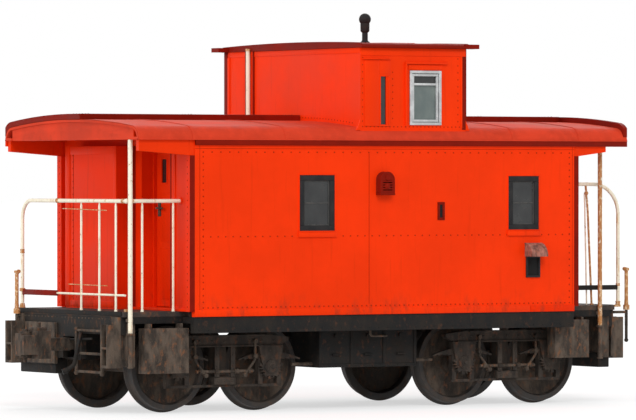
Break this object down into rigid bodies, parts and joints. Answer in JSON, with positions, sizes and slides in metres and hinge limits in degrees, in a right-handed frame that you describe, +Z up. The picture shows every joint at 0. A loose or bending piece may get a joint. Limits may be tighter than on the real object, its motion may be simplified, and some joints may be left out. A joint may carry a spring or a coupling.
{
  "type": "short caboose rail car",
  "caption": "Short steel caboose: red cabin with a cupola over an arched roof, open end platforms with railings, end doors, swing couplers and two swivelling trucks.",
  "frame": {"origin": "on the floor under the middle of the car, at the bottom of its box", "axes": "+X along the car towards the rear platform, -Y the side with the ladder and open railing end, +Z up"},
  "size_m": [7.57, 3.2, 4.3284],
  "materials": {
    "body_red": "semi-gloss orange-red paint",
    "end_red": "semi-gloss red paint",
    "roof_red": "matt weathered red paint",
    "trim_red": "red paint",
    "trim_dark_red": "dark red paint",
    "platform_black": "dusty black paint",
    "underframe_black": "dusty black paint",
    "deck_brown": "worn black paint over rust",
    "rusty_steel": "rusty steel",
    "truck_steel": "dusty and rusty cast steel",
    "cast_steel": "rusty cast steel",
    "wheel_steel": "dark rolled steel with rust",
    "railing_cream": "cream paint with rust spots",
    "sash_black": "black paint",
    "bare_aluminium": "mill-finish aluminium",
    "glass": "dark dusty glass",
    "jack_black": "black paint",
    "hood_rust": "worn paint with rust"
  },
  "bodies": {
    "carbody": {"sills": "underframe_black", "crossmembers": "underframe_black", "draft_pockets": "underframe_black", "floor_deck": "deck_brown", "end_beams": "platform_black", "side_wall_near": "body_red", "side_wall_far": "body_red", "end_wall_front": "end_red", "end_wall_rear": "end_red", "lockers": "end_red", "main_roof": "roof_red", "eaves": "trim_red", "roof_walk": "trim_dark_red", "end_lips": "trim_dark_red", "cupola_walls": "body_red", "cupola_roof": "roof_red", "cupola_windows": "bare_aluminium", "side_windows": "sash_black", "window_glass": "glass", "smoke_jack": "jack_black", "marker_lamps": "trim_dark_red", "vent_hoods": "hood_rust", "railing_front": "railing_cream", "railing_rear": "railing_cream", "platform_poles": "railing_cream", "brake_levers": "railing_cream", "corner_steps": "rusty_steel", "end_ladders": "rusty_steel", "step_boxes": "rusty_steel", "battery_box": "underframe_black", "brake_gear": "underframe_black"},
    "door_front": {"door_front": "end_red"},
    "door_rear": {"door_rear": "end_red"},
    "coupler_front": {"coupler_front": "cast_steel"},
    "coupler_rear": {"coupler_rear": "cast_steel"},
    "truck_front": {"truck_frames_front": "truck_steel", "truck_bolster_front": "truck_steel", "truck_brakes_front": "truck_steel"},
    "truck_rear": {"truck_frames_rear": "truck_steel", "truck_bolster_rear": "truck_steel", "truck_brakes_rear": "truck_steel"},
    "wheelset_1": {"wheelset_1": "wheel_steel"},
    "wheelset_2": {"wheelset_2": "wheel_steel"},
    "wheelset_3": {"wheelset_3": "wheel_steel"},
    "wheelset_4": {"wheelset_4": "wheel_steel"}
  },
  "joints": [
    {"name": "front_truck_swivel", "type": "hinge", "parent": "carbody", "child": "truck_front", "pos_m": [-1.82, 0, 0.84], "axis": [0, 0, 1], "range_deg": [-5, 5]},
    {"name": "rear_truck_swivel", "type": "hinge", "parent": "carbody", "child": "truck_rear", "pos_m": [1.82, 0, 0.84], "axis": [0, 0, 1], "range_deg": [-5, 5]},
    {"name": "front_door_swing", "type": "hinge", "parent": "carbody", "child": "door_front", "pos_m": [-2.21, -0.955, 2], "axis": [0, 0, -1], "range_deg": [0, 95]},
    {"name": "rear_door_swing", "type": "hinge", "parent": "carbody", "child": "door_rear", "pos_m": [2.21, -0.955, 2], "axis": [0, 0, 1], "range_deg": [0, 95]},
    {"name": "front_coupler_swing", "type": "hinge", "parent": "carbody", "child": "coupler_front", "pos_m": [-2.965, 0, 0.73], "axis": [0, 0, 1], "range_deg": [-10, 10]},
    {"name": "rear_coupler_swing", "type": "hinge", "parent": "carbody", "child": "coupler_rear", "pos_m": [2.965, 0, 0.73], "axis": [0, 0, 1], "range_deg": [-10, 10]},
    {"name": "wheelset_1_roll", "type": "hinge", "parent": "truck_front", "child": "wheelset_1", "pos_m": [-2.395, 0, 0.483], "axis": [0, 1, 0], "continuous": true},
    {"name": "wheelset_2_roll", "type": "hinge", "parent": "truck_front", "child": "wheelset_2", "pos_m": [-1.245, 0, 0.483], "axis": [0, 1, 0], "continuous": true},
    {"name": "wheelset_3_roll", "type": "hinge", "parent": "truck_rear", "child": "wheelset_3", "pos_m": [1.245, 0, 0.483], "axis": [0, 1, 0], "continuous": true},
    {"name": "wheelset_4_roll", "type": "hinge", "parent": "truck_rear", "child": "wheelset_4", "pos_m": [2.395, 0, 0.483], "axis": [0, 1, 0], "continuous": true}
  ]
}
